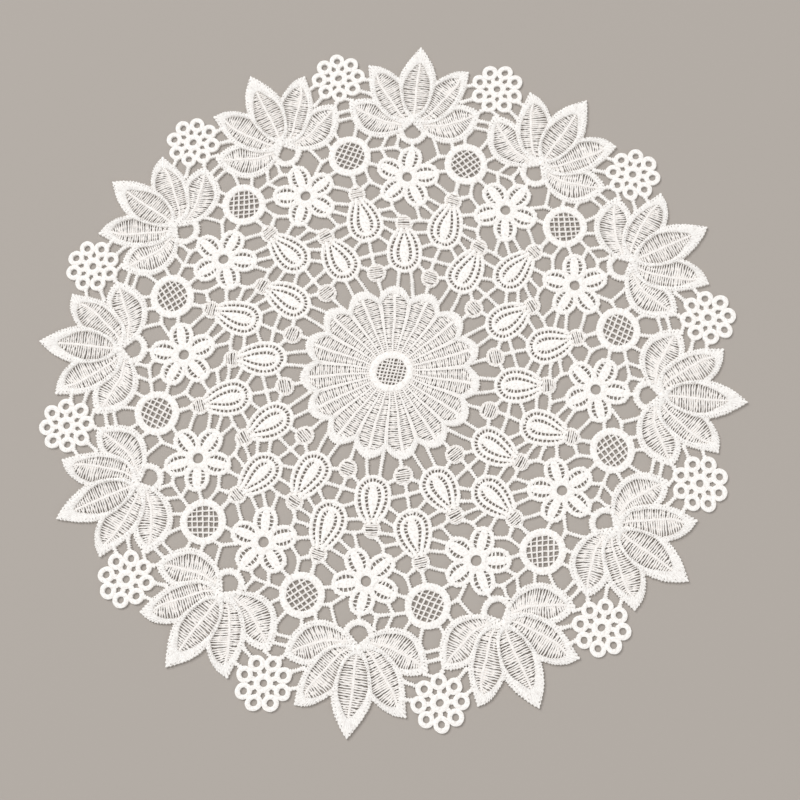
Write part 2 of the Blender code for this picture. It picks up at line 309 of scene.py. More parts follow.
# Straight bars of the ground: (from x, y, to x, y).
BARS = (
    (-25.3, 103.5, -24.7, 109.3), (-20.2, 101.0, -18.0, 105.8), (-12.6, 99.8, -18.0, 98.5),
    (-12.6, 99.8, -11.3, 105.3), (-12.6, 99.8, -10.3, 95.8), (-12.6, 99.8, -6.4, 101.2),
    (-6.4, 101.2, -5.8, 106.5), (-6.4, 101.2, -3.6, 99.6), (0.5, 101.0, 0.5, 104.5),
    (-17.8, 92.6, -13.8, 92.0), (-19.3, 90.0, -16.4, 84.3), (-16.4, 84.3, -10.4, 81.8),
    (-16.4, 84.3, -19.0, 81.3), (-24.2, 86.8, -22.5, 81.8), (10.0, 106.2, 12.6, 98.6),
    (12.6, 98.6, 16.8, 98.8), (12.6, 98.6, 8.2, 94.8), (17.8, 106.0, 18.8, 102.8),
    (23.3, 108.0, 24.1, 104.3), (12.8, 91.3, 17.0, 91.9), (12.0, 86.2, 18.2, 81.0),
    (21.9, 87.0, 21.5, 82.0), (9.0, 78.9, 16.0, 75.2), (7.0, 76.0, 12.6, 71.6),
    (6.9, 68.6, 4.7, 74.9), (6.9, 68.6, 3.0, 67.5), (6.9, 68.6, 11.2, 68.0),
    (-5.6, 72.7, -6.2, 76.2), (-5.6, 72.7, -11.3, 71.2), (-5.6, 72.7, -2.8, 70.0),
    (-11.0, 78.0, -14.8, 74.9), (-3.8, 67.6, -9.9, 67.7), (-3.5, 61.9, -9.4, 64.2),
    (-6.2, 57.2, -10.9, 59.9), (4.3, 62.6, 10.3, 63.0), (7.6, 56.0, 12.8, 58.2),
    (-13.2, 51.0, -6.4, 53.3), (-13.2, 51.0, -18.8, 48.8), (-13.2, 51.0, -14.8, 57.8),
    (-13.2, 51.0, -12.0, 47.0), (7.3, 48.2, 9.8, 45.8), (-7.0, 45.9, -4.8, 47.3),
    (-1.0, 45.3, -0.8, 34.0), (4.0, 45.2, 6.1, 34.0), (12.0, 39.3, 10.9, 33.0),
    (27.2, 113.2, 33.8, 112.0), (28.5, 116.6, 34.0, 115.7), (20.6, 124.9, 25.2, 127.0),
    (21.3, 132.6, 24.8, 133.6), (29.8, 121.5, 31.5, 122.5), (33.8, 122.0, 36.5, 119.5),
    (-21.0, 132.6, -24.5, 132.6), (-20.3, 126.0, -25.5, 127.0),
)
# How far a bar is tucked in at its ends, how far from them it starts to spread, and by how much.
BAR_TUCK = 0.9
BAR_FLARE = 1.3
BAR_SPREAD = 0.6

# Section of a satin border over its padding: (share of the width, share of the height).
SECTION = ((0.0, 0.0), (0.03, 0.87), (0.2, 1.0), (0.8, 1.0), (0.97, 0.87), (1.0, 0.0))
# Least length of a step whose direction is asked for.
SHORTEST = 1e-6
# Step of the points of a ring's line, and how many there are at least.
RING_STEP = 0.5
RING_POINTS = 12
# Steps of the stitches in plain borders and in the finer toothed ones.
PLAIN_STEP = 0.6
FINE_STEP = 0.5
# Widths under this are taken as this where a border comes to a point.
POINT_WIDTH = 0.05
# How much lower every other stitch of a border lies, how far borders differ in height, and how
# far their edges wander.
RIDGE = 0.06
TENSION = 0.03
WANDER = 0.03
# Teeth of the ribs, that the threads on both sides pull out of line.
RIB_TOOTH = 0.25
# Least and most of a tooth, as a share of its size.
TOOTH_CHANCE = (0.4, 1.35)
# Section of a bundle of drawn threads: (share of the half width, share of the height).
BUNDLE_SECTION = ((-1.0, 0.0), (-0.5, 1.0), (0.5, 1.0), (1.0, 0.0))
# Share of a bundle's width from its start to its end, full where it is tied down: from a lotus
# rib to its border, from a daisy rib to the next, over a hatched round, over a gap, in a net.
FROM_RIB = (1.15, 0.9, 0.8, 0.98, 0.72, 0.53, 0.4)
BETWEEN_RIBS = (1.12, 0.82, 0.82, 1.06, 1.0, 0.58, 0.9)
HATCHED = (0.6, 1.0, 0.84, 1.04, 0.86, 1.04, 0.84, 1.0, 0.6)
RUNG = (1.2, 0.85, 1.2)
NETTED = (1.0, 0.9) * 6
# How much the width of a bundle varies by chance from place to place, and from one to the next.
SWELL = 0.12
RUNG_SWELL = 0.24
# How far a bundle's end leans to one side by chance.
LEAN = 0.17

# Needle holes along the lotus borders, painted as spots of shade: pitch, distance from the outer
# edge, radius, and how far they stray.
HOLE_PITCH = 1.9
HOLE_INSET = 1.5
HOLE_RADIUS = 0.36
HOLE_STRAY = 0.8

# Distance from the middle within which the cloth has slipped sideways.
SLIP_REACH = 95.0
# Waves in which the cloth lies out of true, for x and for y: the slow wave's length in radians
# across the move and its start, the same along the move, and the quick wave's lengths.
WAVES = ((23.0, 0.6, 31.0, 0.0, 3.1, 7.9), (27.0, 2.1, 19.0, 1.0, 3.7, -8.3))
# Height of the quick waves over the slow ones.
QUICK = 0.5
SMOOTH_ANGLE = 50.0

# Ground: its underside, its step along the borders, how far it stays inside their edges, that as
# a share of a narrow border's width at most, least area of a face, and the distance that merges
# points.
GROUND_FOOT = 0.05
GROUND_STEP = 1.4
GROUND_INSET = 0.14
GROUND_NARROW = 0.4
GROUND_LEAST = 0.001
GROUND_MERGE = 0.01

# Names of the finishes.
SATIN = "satin stitch in rayon"
PRICKED = "satin stitch with needle holes"
DRAWN = "drawn rayon thread"
UNDER = "cotton understitching"
BOARD = "matt painted board"
# Scale of a wave texture whose waves are one unit apart.
WAVE = math.pi / 10
# Share by which a ridge lightens the thread: painted light on ridges, painted shade between.
RIDGE_LIGHT = 0.4
# Real spacing of the plies in a drawn bundle, of understitching, and of a roller's stipple.
PLY = 0.36
UNDER_PITCH = 0.5
STIPPLE = 3.0
# Viscose rayon: matt enough to read as white from all round, with a faint silky bloom.
RAYON = {"Roughness": 0.6, "IOR": 1.47, "Sheen Weight": 0.2, "Sheen Roughness": 0.4}

# Camera: what it looks at, its distance from that, and its angles in degrees.
CAMERA_TARGET = (6.2, -11.5)
CAMERA_DISTANCE = 505.2
CAMERA_AZIMUTH = 19.2
CAMERA_ELEVATION = 76.9
CAMERA_ROLL = -13.65
CAMERA_LENS = 54.25
# Softboxes, large and far off so that the floor is lit evenly: (name, place in metres, side in
# metres, power in watts).
SOFTBOXES = (
    ("key", (-3.6, 2.7, 6.3), 4.2, 402.0),
    ("fill", (5.4, -3.6, 5.4), 7.2, 157.0),
)
ROOM_LIGHT = 0.5
FLOOR_SIDE = 60.0


def linear(hex_colour):
    """Linear colour of an sRGB hex value."""
    levels = [int(hex_colour[k : k + 2], 16) / 255 for k in (0, 2, 4)]
    bent = [v / 12.92 if v <= 0.04045 else ((v + 0.055) / 1.055) ** 2.4 for v in levels]
    return (*bent, 1.0)


# ---- lines in plan


def polar(bearing, distance=1.0):
    """Plan vector of a bearing."""
    a = math.radians(bearing)
    return np.array((math.sin(a), math.cos(a))) * distance


def bearings(first, count):
    """Bearings evenly spaced all round."""
    return [first + 360.0 * k / count for k in range(count)]


def flowing(points, cuts=8):
    """Smooth open line through points."""
    p = np.array(points, float)
    p = np.vstack((2 * p[0] - p[1], p, 2 * p[-1] - p[-2]))
    a, b, c, d = (q[:, None, :] for q in (p[:-3], p[1:-2], p[2:-1], p[3:]))
    t = (np.arange(cuts) / cuts)[None, :, None]
    bend = t**2 * (a - 2.5 * b + 2 * c - d / 2) + t**3 * (1.5 * (b - c) + (d - a) / 2)
    curve = b + t * (c - a) / 2 + bend
    return np.vstack((curve.reshape(-1, 2), p[-2:-1]))


def runs(line):
    """Distance along a line to each of its points."""
    steps = np.linalg.norm(np.diff(line, axis=0), axis=1)
    return np.concatenate(((0.0,), np.cumsum(steps)))


def paced(left, right, step, closed=False):
    """Two lines side by side with evenly spaced points, an even number of steps along."""
    pair = np.hstack((left, right))
    if closed:
        pair = np.vstack((pair, pair[:1]))
    run = runs((pair[:, :2] + pair[:, 2:]) / 2)
    count = max(2, 2 * round(run[-1] / step / 2))
    at = np.linspace(0.0, run[-1], count + 1)
    even = np.stack([np.interp(at, run, column) for column in pair.T], axis=1)
    if closed:
        even = even[:-1]
    return even[:, :2], even[:, 2:]


def tangents(line, closed=False):
    """Unit direction of a line at each of its points."""
    if closed:
        ahead = np.roll(line, -1, axis=0) - np.roll(line, 1, axis=0)
    else:
        ahead = np.gradient(line, axis=0)
    return ahead / np.maximum(np.linalg.norm(ahead, axis=1, keepdims=True), SHORTEST)


def beside(line, distance, closed=False):
    """The line moved to its right by a distance, or by one for each point."""
    t = tangents(line, closed)
    return line + np.stack((t[:, 1], -t[:, 0]), axis=1) * np.reshape(distance, (-1, 1))


def ring_line(middle, radius, start=0.0, sweep=360.0):
    """Circle, or part of one, clockwise from a bearing."""
    count = max(RING_POINTS, round(math.radians(sweep) * radius / RING_STEP))
    ends = 0 if sweep >= 360.0 else 1
    turns = np.radians(start + sweep * np.arange(count + ends) / count)
    return np.array(middle) + radius * np.stack((np.sin(turns), np.cos(turns)), axis=1)


def placed(points, x, y, bearing):
    """Points given as (along, across) an axis, laid in plan with the axis on a bearing."""
    along, across = np.array(points, float).T
    s, c = polar(bearing)
    return np.stack((x + along * s + across * c, y + along * c - across * s), axis=1)


def both_sides(half):
    """Line round a shape from the half of it on one side: (along, half width)."""
    half = np.array(half, float)
    return np.vstack((half[::-1] * (1.0, -1.0), half[1:]))


def chords(middle, radius, bearing, pitch):
    """Starts and ends of threads laid across a circle on a bearing."""
    reach = int(radius / pitch)
    offsets = np.arange(-reach, reach + 1) * pitch
    half = np.sqrt(radius**2 - offsets**2)
    return [placed(np.stack((ends, offsets), axis=1), *middle, bearing) for ends in (-half, half)]


# ---- borders in plan

# A border of satin stitch: its outer and inner line, the heights it stands between, whether it
# closes on itself, how far every other stitch stands out past the rest, and its step.
Border = namedtuple("Border", "outer inner low high closed teeth step")


def fine(sizes):
    """Stitches of the borders round small motifs."""
    return {"teeth": sizes.mm("tooth") / 2, "step": FINE_STEP}


def bold(sizes):
    """Stitches of the bars and of the borders round large motifs."""
    return {"teeth": sizes.mm("tooth"), "step": sizes.mm("stitch")}


def spanned(border, step):
    """Evenly spaced points of a border's two lines, its width there and its direction across."""
    outer, inner = paced(border.outer, border.inner, step, border.closed)
    width = np.linalg.norm(inner - outer, axis=1, keepdims=True)
    return outer, inner, width, (inner - outer) / np.maximum(width, POINT_WIDTH)


def cord(line, width, high, low=LOW, closed=False, teeth=0.0, step=PLAIN_STEP):
    """Border of a width, or of one for each point, on both sides of a middle line."""
    line = np.array(line, float)
    half = np.asarray(width, float) / 2
    sides = [beside(line, way * half, closed) for way in (-1.0, 1.0)]
    return Border(*sides, low, high, closed, teeth, step)


def ring(middle, shape, **stitches):
    """Closed ring from a shape (radius of the middle line, width, height)."""
    radius, width, high = shape
    return cord(ring_line(middle, radius), width, high, closed=True, **stitches)


def band(rows, high, side=1.0, teeth=0.0, step=PLAIN_STEP):
    """Border between two given lines, or on side -1 its mirror image."""
    rows = np.array(rows, float)
    sides = [flowing(pair) * (side, 1.0) for pair in (rows[:, :2], rows[:, 2:])]
    return Border(*sides, LOW, high, False, teeth, step)


def leaf(rows, high, x, y, bearing):
    """Padded leaf from its half widths along an axis: (along, half width)."""
    half = flowing(rows)
    sides = [placed(half * (1.0, side), x, y, bearing) for side in (-1.0, 1.0)]
    return Border(*sides, LOW, high, False, 0.0, PLAIN_STEP)


def hatch_ring(middle, radius, sizes):
    """Ring under the threads of a ball or a cap."""
    inset, width, high = HATCH_RING
    return ring(middle, (radius - inset, width, high), **fine(sizes))


def bar_borders(sizes):
    """Bars of the ground, tucked into what they join."""
    reach = np.array((-BAR_TUCK, 0.0, BAR_FLARE))
    swell = sizes.mm("bar_width") + np.array((BAR_SPREAD, BAR_SPREAD, 0.0))
    for start, end in np.array(BARS).reshape(-1, 2, 2):
        along = (end - start) / np.linalg.norm(end - start)
        line = np.vstack((start + reach[:, None] * along, end - reach[::-1, None] * along))
        yield cord(line, np.concatenate((swell, swell[::-1])), BAR_HEIGHT, **bold(sizes))


def drop_borders(sizes):
    """Border, ring, leaf and cap of each drop."""
    rim = beside(flowing(both_sides(DROP_OUTLINE)), DROP_BORDER / 2)
    inner = flowing(both_sides(DROP_RING))
    width = np.interp(inner[:, 0], *DROP_RING_WIDTHS)
    for x, y, bearing in DROPS:
        yield cord(placed(rim, x, y, bearing), DROP_BORDER, RIM_HEIGHT, **fine(sizes))
        yield cord(placed(inner, x, y, bearing), width, DROP_RING_HEIGHT)
        yield leaf(DROP_LEAF, LEAF_HEIGHT, x, y, bearing)
        yield hatch_ring((x, y) + polar(bearing, DROP_CAP), DROP_CAP_RADIUS, sizes)


def flower_borders(sizes):
    """Ring, petal borders and leaves of a flower."""
    yield ring(FLOWER, FLOWER_RING)
    turn = np.radians(np.arange(0, 360, FLOWER_TURN))
    along = FLOWER_STEP + FLOWER_LENGTH * np.cos(turn)
    oval = np.stack((along, FLOWER_WIDTH * np.sin(turn)), axis=1)
    for bearing in bearings(FLOWER_BEARING, FLOWER_PETALS):
        middle = beside(placed(oval, *FLOWER, bearing), FLOWER_BORDER / 2, closed=True)
        yield cord(middle, FLOWER_BORDER, RIM_HEIGHT, closed=True, **fine(sizes))
        yield leaf(FLOWER_LEAF, LEAF_HEIGHT, *FLOWER, bearing)


def net_borders(sizes):
    """Ring of a net disc."""
    yield ring(NET, NET_RING, **fine(sizes))


def cluster_borders(_sizes):
    """Rings of a cluster, and the ties from its middle ring to the others."""
    start, end, width, high = CLUSTER_TIE
    yield ring(CLUSTER, CLUSTER_MIDDLE)
    for bearing in bearings(CLUSTER_BEARING, CLUSTER_RINGS):
        yield ring(CLUSTER + polar(bearing, CLUSTER_STEP), CLUSTER_RING)
        yield cord([CLUSTER + polar(bearing, far) for far in (start, end)], width, high)


def ball_borders(sizes):
    """Rings of the hatched balls."""
    for x, y, radius, _ in BALLS:
        yield hatch_ring((x, y), radius, sizes)


def lotus_borders(sizes):
    """Borders of a lotus, lowest first, and the knot over its foot."""
    for rows, high in LOTUS_BORDERS:
        for side in (1.0, -1.0):
            yield band(rows, high, side, **bold(sizes))
    x, y, radius, high = LOTUS_KNOT
    half = [(radius * math.cos(a), radius * math.sin(a)) for a in np.linspace(*KNOT_OUTLINE)]
    yield leaf(half, high, x, y, 90.0)


def eye_borders(sizes):
    """Half ring of the eye under a lotus."""
    radius, width, high = EYE_RING
    yield cord(ring_line(EYE, radius, *EYE_ARC), width, high, **bold(sizes))


def daisy_borders(sizes):
    """Scalloped rim of the daisy and the ring round its middle."""
    part = np.arange(-DAISY_STEPS, DAISY_STEPS, 2) / DAISY_STEPS
    radii = DAISY_TIP - (DAISY_TIP - DAISY_NOTCH) * part**2
    rim = []
    for bearing in bearings(DAISY_BEARING, DAISY_PETALS):
        rim += [polar(bearing + p / 2 * DAISY_TURN, r) for p, r in zip(part, radii)]
    outer = np.array(rim)
    inner = outer * (1.0 - DAISY_RIM / np.linalg.norm(outer, axis=1, keepdims=True))
    yield Border(outer, inner, LOW, DAISY_HEIGHT, True, **bold(sizes))
    yield ring((0.0, 0.0), DAISY_RING)


# Borders of one repeat.
MOTIFS = (
    bar_borders,
    drop_borders,
    flower_borders,
    net_borders,
    cluster_borders,
    ball_borders,
    lotus_borders,
    eye_borders,
)


def lotus_fills():
    """Fillings of a lotus on its +X side: rows of rib and edge, height, and the sides on which
    the rib is laid with them."""
    for table, high, ribs in LOTUS_FILLS:
        rows = np.array(table)
        for edge in range(2, rows.shape[1], 2):
            yield rows[:, (0, 1, edge, edge + 1)], high, ribs if edge == 2 else ()


def drawn(rows, pitch, side=1.0):
    """Starts and ends of threads drawn from a rib to an edge."""
    starts, ends = paced(flowing(rows[:, :2]), flowing(rows[:, 2:]), pitch)
    return starts * (side, 1.0), ends * (side, 1.0)


# ---- stitches


class Work:
    """Stitches of one piece: points, faces, and for each face corner its place in millimetres
    along the thread and in from its outer edge."""

    def __init__(self, context, borders=None):
        self.context = context
        self.sizes = context.scene.doily_sizes
        self.points = []
        self.faces = []
        self.marks = []
        self.rng = np.random.default_rng(SEED)
        if borders:
            self.lay(borders(self.sizes))

    def tubes(self, rings, closed=False, length=0.0):
        """Closed tubes of rings (tube, station, corner, (x, y, z, along, in)), where one that
        closes on itself has a length."""
        index = np.arange(rings[..., 0].size).reshape(rings.shape[:3]) + len(self.points)
        marks = rings[..., 3:]
        later = np.roll(marks, -1, axis=1)
        if closed:
            later[:, -1, :, 0] += length
        last = None if closed else -1
        quads, mapped = (
            np.stack((a, np.roll(a, -1, axis=2), np.roll(b, -1, axis=2), b), axis=3)[:, :last]
            for a, b in ((index, np.roll(index, -1, axis=1)), (marks, later))
        )
        self.points += rings[..., :3].reshape(-1, 3).tolist()
        self.faces += quads.reshape(-1, 4).tolist()
        self.marks.append(mapped.reshape(-1, 2))
        if not closed:
            for place, order in ((0, -1), (-1, 1)):
                self.faces += index[:, place, ::order].tolist()
                self.marks.append(marks[:, place, ::order].reshape(-1, 2))

    def lay(self, borders):
        """Satin borders, each rounded over its padding."""
        share, lift = np.array(SECTION).T
        for b in borders:
            high = b.high + self.rng.normal(0.0, TENSION)
            outer, inner, width, across = spanned(b, b.step)
            t = tangents((outer + inner) / 2, b.closed)
            if np.sum((t[:, 0] * across[:, 1] - t[:, 1] * across[:, 0]) * width[:, 0]) > 0.0:
                outer, inner, width, across = (a[::-1] for a in (outer, inner, width, across))
            turn = np.where(np.arange(len(outer)) % 2, 0.5, -0.5)[:, None] * (1.0, -1.0)
            stray = self.rng.normal(0.0, WANDER, turn.shape)
            stray += turn * b.teeth * self.rng.uniform(*TOOTH_CHANCE, turn.shape)
            if not b.closed:
                stray[[0, -1]] = 0.0
            outer = outer - across * stray[:, :1]
            inner = inner + across * stray[:, 1:]
            rings = np.empty((1, len(outer), len(share), 5))
            rings[0, :, :, :2] = outer[:, None, :] + (inner - outer)[:, None, :] * share[:, None]
            tops = np.full((len(outer), 1), high)
            tops[::2] -= RIDGE
            rings[0, :, :, 2] = b.low + (tops - b.low) * lift
            middle = (outer + inner) / 2
            run = runs(middle)
            rings[0, :, :, 3] = run[:, None]
            rings[0, :, :, 4] = width * share
            self.tubes(rings, b.closed, run[-1] + np.linalg.norm(middle[0] - middle[-1]))

    def draw(self, starts, ends, width, shares, high, low=HUNG, swell=SWELL):
        """Bundles of drawn threads, with the share of their width at even places along them."""
        starts, ends = np.asarray(starts, float), np.asarray(ends, float)
        along = ends - starts
        far = np.linalg.norm(along, axis=1, keepdims=True)
        right = np.stack((along[:, 1], -along[:, 0]), axis=1) / far
        place = np.linspace(0.0, 1.0, len(shares))
        chance = self.rng.normal(0.0, swell, (len(starts), len(shares)))
        chance += self.rng.normal(0.0, swell / 2, (len(starts), 1))
        full = np.array(shares) * (1.0 + chance)
        drift = self.rng.normal(0.0, self.sizes.mm("stray"), full.shape)
        drift += self.rng.normal(0.0, LEAN, (len(starts), 1)) * place
        spine = starts[:, None] + along[:, None] * place[:, None]
        spine += right[:, None] * drift[..., None]
        across, lift = np.array(BUNDLE_SECTION).T
        reach = (width / 2 * full)[..., None] * across
        rings = np.empty((*reach.shape, 5))
        rings[..., :2] = spine[:, :, None, :] + right[:, None, None, :] * reach[..., None]
        tops = (high + self.rng.normal(0.0, TENSION, full.shape))[..., None]
        rings[..., 2] = low + (tops - low) * lift
        rings[..., 3] = (far * place)[..., None]
        rings[..., 4] = reach
        self.tubes(rings)

    def hatch(self, middle, radius, bearing):
        """Close threads over a ring, lower at its edge."""
        pitch, width, low, high = HATCH
        crown = high - (high - low) * HATCH_FALL * np.linspace(-1.0, 1.0, len(HATCHED)) ** 4
        threads = chords(middle, radius - HATCH_SHORT, bearing, pitch)
        self.draw(*threads, width, HATCHED, crown, low)

    def net(self, middle, radius, width, ways):
        """Two sets of threads crossing inside a circle."""
        for (bearing, pitch), (low, high) in zip(ways, NET_LAYERS):
            self.draw(*chords(middle, radius, bearing, pitch), width, NETTED, high, low)

    def piece(self, name, material, count=REPEATS):
        """The stitches as one finished piece, worked count times round the cloth."""
        obj = meshed(name, (np.array(self.points) * MM).tolist(), self.faces)
        uv = obj.data.uv_layers.new(name="thread")
        uv.data.foreach_set("uv", np.concatenate(self.marks).astype(np.float32).ravel())
        turned(obj, count)
        finished(obj, material, self.context)


def meshed(name, points, faces):
    """New object from points and faces, selected alone."""
    mesh = bpy.data.meshes.new(name)
    mesh.from_pydata(points, [], faces)
    obj = bpy.data.objects.new(name, mesh)
    bpy.context.scene.collection.objects.link(obj)
    bpy.ops.object.select_all(action="DESELECT")
    obj.select_set(True)
    bpy.context.view_layer.objects.active = obj
    return obj


def turned(obj, count):
    """Copies a motif round the middle of the cloth with an Array."""
    hub = bpy.data.objects.new("hub", None)
    bpy.context.scene.collection.objects.link(hub)
    hub.rotation_euler.z = -2 * math.pi / count
    rounds = obj.modifiers.new("rounds", "ARRAY")
    rounds.count = count
    rounds.use_relative_offset = False
    rounds.use_object_offset = True
    rounds.offset_object = hub
    bpy.context.view_layer.update()
    bpy.ops.object.modifier_apply(modifier=rounds.name)
    bpy.data.objects.remove(hub)


def finished(obj, material, context):
    """Lays a piece as the cloth rests, smooths it and hands it to the frame."""
    sizes = context.scene.doily_sizes
    mesh = obj.data
    co = np.empty(len(mesh.vertices) * 3)
    mesh.vertices.foreach_get("co", co)
    co = co.reshape(-1, 3) / MM
    x, y, z = co.T.copy()
    slip = 2.0 * np.exp(-(x**2 + y**2) / SLIP_REACH**2) - 1.0
    co[:, 0] += sizes.mm("slip") * slip
    for axis, (across, start, along, lag, near, far) in enumerate(WAVES):
        a, b = (x, y) if axis else (y, x)
        wave = np.sin(a / across + start) * np.cos(b / along + lag)
        wave += QUICK * np.sin(a / near + b / far)
        co[:, axis] += sizes.mm("unevenness") * wave
    co[:, 2] = z * sizes.mm("relief") / TABLE_RELIEF
    mesh.vertices.foreach_set("co", (co * MM).ravel())
    mesh.update()
    mesh.materials.append(finish(material, context))
    bpy.ops.object.shade_smooth_by_angle(angle=math.radians(SMOOTH_ANGLE))
    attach(obj, BODY)
    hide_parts(NODE)


# ---- the cloth's ground


def plan_turn(corners):
    """Area of a plane shape, positive where its corners turn to the left."""
    return sum(a.cross(b) for a, b in zip(corners, corners[1:] + corners[:1])) / 2


def joined(borders):
    """Plan of borders that stand on the ground, as one net of triangles."""
    points, faces = [], []
    for b in borders:
        outer, inner, width, across = spanned(b, GROUND_STEP)
        aside = across * np.minimum(GROUND_INSET, width * GROUND_NARROW)
        count = len(outer)
        first = len(points)
        points += [Vector(p) for p in (*(outer + aside), *(inner - aside))]
        for i in range(count if b.closed else count - 1):
            j = (i + 1) % count
            face = [first + i, first + j, first + count + j, first + count + i]
            turning = plan_turn([points[v] for v in face])
            if abs(turning) > GROUND_LEAST:
                faces.append(face if turning > 0.0 else face[::-1])
    union = delaunay_2d_cdt(points, [], faces, 0, GROUND_MERGE, True)
    verts, _, tris, _, _, owners = union
    return verts, [tri for tri, owner in zip(tris, owners) if owner]


def thickened(name, verts, tris):
    """Closed plate on a net of triangles, standing on the table."""
    count = len(verts)
    used = {(a, b) for tri in tris for a, b in zip(tri, tri[1:] + tri[:1])}
    rim = [(a, b) for a, b in used if (b, a) not in used]
    points = [(x * MM, y * MM, z * MM) for z in (GROUND, GROUND_FOOT) for x, y in verts]
    faces = [list(tri) for tri in tris]
    faces += [[v + count for v in reversed(tri)] for tri in tris]
    faces += [[b, a, a + count, b + count] for a, b in sorted(rim)]
    obj = meshed(name, points, faces)
    bpy.ops.object.mode_set(mode="EDIT")
    bpy.ops.mesh.select_all(action="SELECT")
    bpy.ops.mesh.delete_loose()
    bpy.ops.object.mode_set(mode="OBJECT")
    return obj


def plan_area(verts, tris):
    """Area of a net of triangles, in square metres."""
    corners = ([verts[v] for v in tri] for tri in tris)
    return sum(abs((b - a).cross(c - a)) for a, b, c in corners) / 2 * MM**2


# ---- materials


def add(tree, kind, settings, links=None, out=0):
    """Adds a node, sets its sockets and properties by name, links what feeds it, and gives back
    one of its outputs."""
    node = tree.nodes.new("ShaderNode" + kind)
    for key, value in settings.items():
        if isinstance(key, int) or key in node.inputs:
            node.inputs[key].default_value = value
        else:
            setattr(node, key, value)
    for key, source in (links or {}).items():
        tree.links.new(source, node.inputs[key])
    return node.outputs[out]


def started(name, values):
    """A new material with values on its shader's sockets, its tree and its shader."""
    material = bpy.data.materials.new(name)
    material.use_nodes = True
    shader = material.node_tree.nodes["Principled BSDF"]
    for socket, value in values.items():
        shader.inputs[socket].default_value = value
    return material, material.node_tree, shader


def threaded(tree, shader, context, ridges, bump, tension=None, holes=None):
    """Feeds the shader's colour: painted shade in the shadow colour between the ridges, mixed with
    the thread's own colour, the tension from place to place varying the tone at random, and
    painted shade in the needle holes.  Feeds its normal from the ridges, with a bump (strength,
    depth in millimetres)."""
    colours = context.scene.doily_colours
    share = ridges
    if tension:
        settings = {"operation": "MULTIPLY_ADD", "use_clamp": True, 1: RIDGE_LIGHT}
        share = add(tree, "Math", settings, {0: ridges, 2: tension})
    # Painted shade: the shadow colour lies between the ridges, and where the tension is low it
    # mottles the tone.
    settings = {"data_type": "RGBA", 6: colours.shadow, 7: colours.thread}
    colour = add(tree, "Mix", settings, {0: share}, 2)
    # Painted shade in the needle holes.
    if holes:
        settings = {"data_type": "RGBA", 7: colours.hole_shade}
        colour = add(tree, "Mix", settings, {0: holes, 6: colour}, 2)
    tree.links.new(colour, shader.inputs["Base Color"])
    strength, depth = bump
    settings = {"Strength": strength, "Distance": depth * MM}
    normal = add(tree, "Bump", settings, {"Height": ridges})
    tree.links.new(normal, shader.inputs["Normal"])


def satin_stitch(name, context):
    """Satin stitch in white rayon over cotton padding.

    Each pass of thread lies across the border and shows as a fine ridge, in bump, with a soft
    painted shadow beside it, and the passes differ a little in tension, which varies the tone at
    random.  A pass is as wide as the stitch size in the panel.  Where it is pricked, a row of
    needle holes, painted as spots of shade, runs inside the outer edge."""
    material, tree, shader = started(name, RAYON)
    place = add(tree, "UVMap", {"uv_map": "thread"})
    scale = WAVE / context.scene.doily_sizes.mm("stitch")
    settings = {"Scale": scale, "Distortion": 0.8, "Detail": 1.0}
    ridges = add(tree, "TexWave", settings, {"Vector": place}, "Fac")
    noise = add(tree, "TexNoise", {"Scale": 0.9, "Detail": 3.0}, {"Vector": place}, "Fac")
    tension = add(tree, "MapRange", {"From Min": 0.25, "From Max": 0.6}, {"Value": noise})
    holes = needle_hole_shade(tree, place) if name == PRICKED else None
    # The ridges paint shade between the passes, and the needle holes are painted shade.
    threaded(tree, shader, context, ridges, (0.6, 0.12), tension, holes)
    return material


def needle_hole_shade(tree, place):
    """Share of painted shade in the needle holes: up to one inside their radius, nothing
    elsewhere.

    The holes stray a little from their row, and fade out where the thread has closed over."""
    noise = add(tree, "TexNoise", {"Scale": 0.35, "Detail": 1.0}, {"Vector": place}, "Fac")
    shown = add(tree, "MapRange", {"From Min": 0.38, "From Max": 0.52}, {"Value": noise})
    settings = {"operation": "MULTIPLY_ADD", 1: (HOLE_STRAY,) * 3}
    links = {0: noise.node.outputs["Color"], 2: place}
    strayed = add(tree, "VectorMath", settings, links)
    apart = add(tree, "SeparateXYZ", {}, {0: strayed}).node.outputs
    turn = add(tree, "Math", {"operation": "DIVIDE", 1: HOLE_PITCH}, {0: apart["X"]})
    part = add(tree, "Math", {"operation": "FRACT"}, {0: turn})
    settings = {"operation": "MULTIPLY_ADD", 1: HOLE_PITCH, 2: -HOLE_PITCH / 2}
    along = add(tree, "Math", settings, {0: part})
    inward = add(tree, "Math", {"operation": "SUBTRACT", 1: HOLE_INSET}, {0: apart["Y"]})
    spot = add(tree, "CombineXYZ", {}, {"X": along, "Y": inward})
    far = add(tree, "VectorMath", {"operation": "LENGTH"}, {0: spot}, "Value")
    settings = {"From Min": HOLE_RADIUS * 0.6, "From Max": HOLE_RADIUS, "To Max": 0.0}
    return add(tree, "MapRange", settings, {"Value": far, "To Min": shown})


def drawn_thread(name, context):
    """Drawn thread: white rayon laid long and loose in bundles of three, with no padding.

    The threads show as fine lines along the bundle, a little slanted by their twist, in bump and
    in painted shade between the plies, and their tone varies at random.  A bundle falls into
    shadow at its sides.  The bundles lie a little wider apart than real ones, so that the slits
    between them show."""
    material, tree, shader = started(name, RAYON)
    place = add(tree, "UVMap", {"uv_map": "thread"})
    slant = add(tree, "Mapping", {"Rotation": (0.0, 0.0, math.radians(8.0))}, {"Vector": place})
    settings = {"bands_direction": "Y", "Scale": WAVE / PLY, "Distortion": 0.5}
    plies = add(tree, "TexWave", settings, {"Vector": slant}, "Fac")
    tension = add(tree, "TexNoise", {"Scale": 0.7, "Detail": 2.0}, {"Vector": place}, "Fac")
    # The plies paint shade between the threads of a bundle.
    threaded(tree, shader, context, plies, (0.5, 0.08), tension)
    return material


